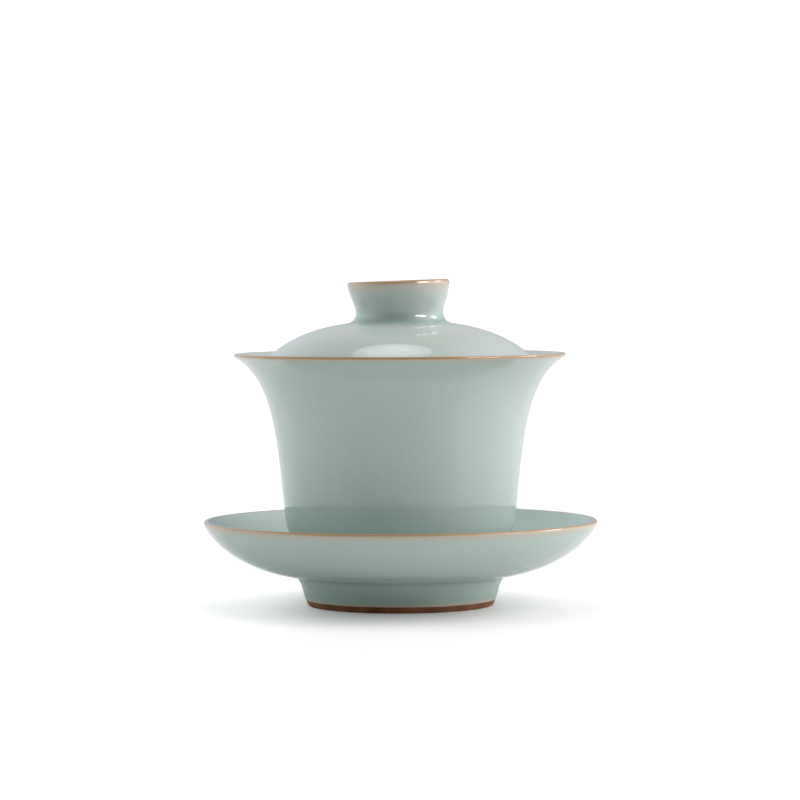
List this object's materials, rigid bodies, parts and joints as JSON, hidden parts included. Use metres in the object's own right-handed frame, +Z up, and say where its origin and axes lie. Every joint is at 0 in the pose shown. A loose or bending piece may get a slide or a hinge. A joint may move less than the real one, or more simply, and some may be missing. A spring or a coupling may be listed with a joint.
{
  "type": "gaiwan",
  "caption": "Lidded tea bowl on a saucer: flared handleless bowl, domed lid with an open cup-shaped knob, and a shallow saucer on a foot ring.",
  "frame": {"origin": "middle of the saucer's foot ring, on the plane it stands on", "axes": "+Z up along the axis that all three pieces are turned about; +X is the side on which the lid's knob stands slightly higher"},
  "size_m": [0.1136, 0.1136, 0.0941],
  "materials": {
    "celadon_glaze": "gloss"
  },
  "bodies": {
    "saucer": {"saucer": "celadon_glaze"},
    "bowl": {"bowl": "celadon_glaze"},
    "lid": {"lid": "celadon_glaze"}
  },
  "joints": [
    {"name": "bowl_lift", "type": "slide", "parent": "saucer", "child": "bowl", "axis": [0, 0, 1], "range_m": [0, 0.06]},
    {"name": "lid_lift", "type": "slide", "parent": "bowl", "child": "lid", "axis": [0, 0, 1], "range_m": [0, 0.05]}
  ]
}
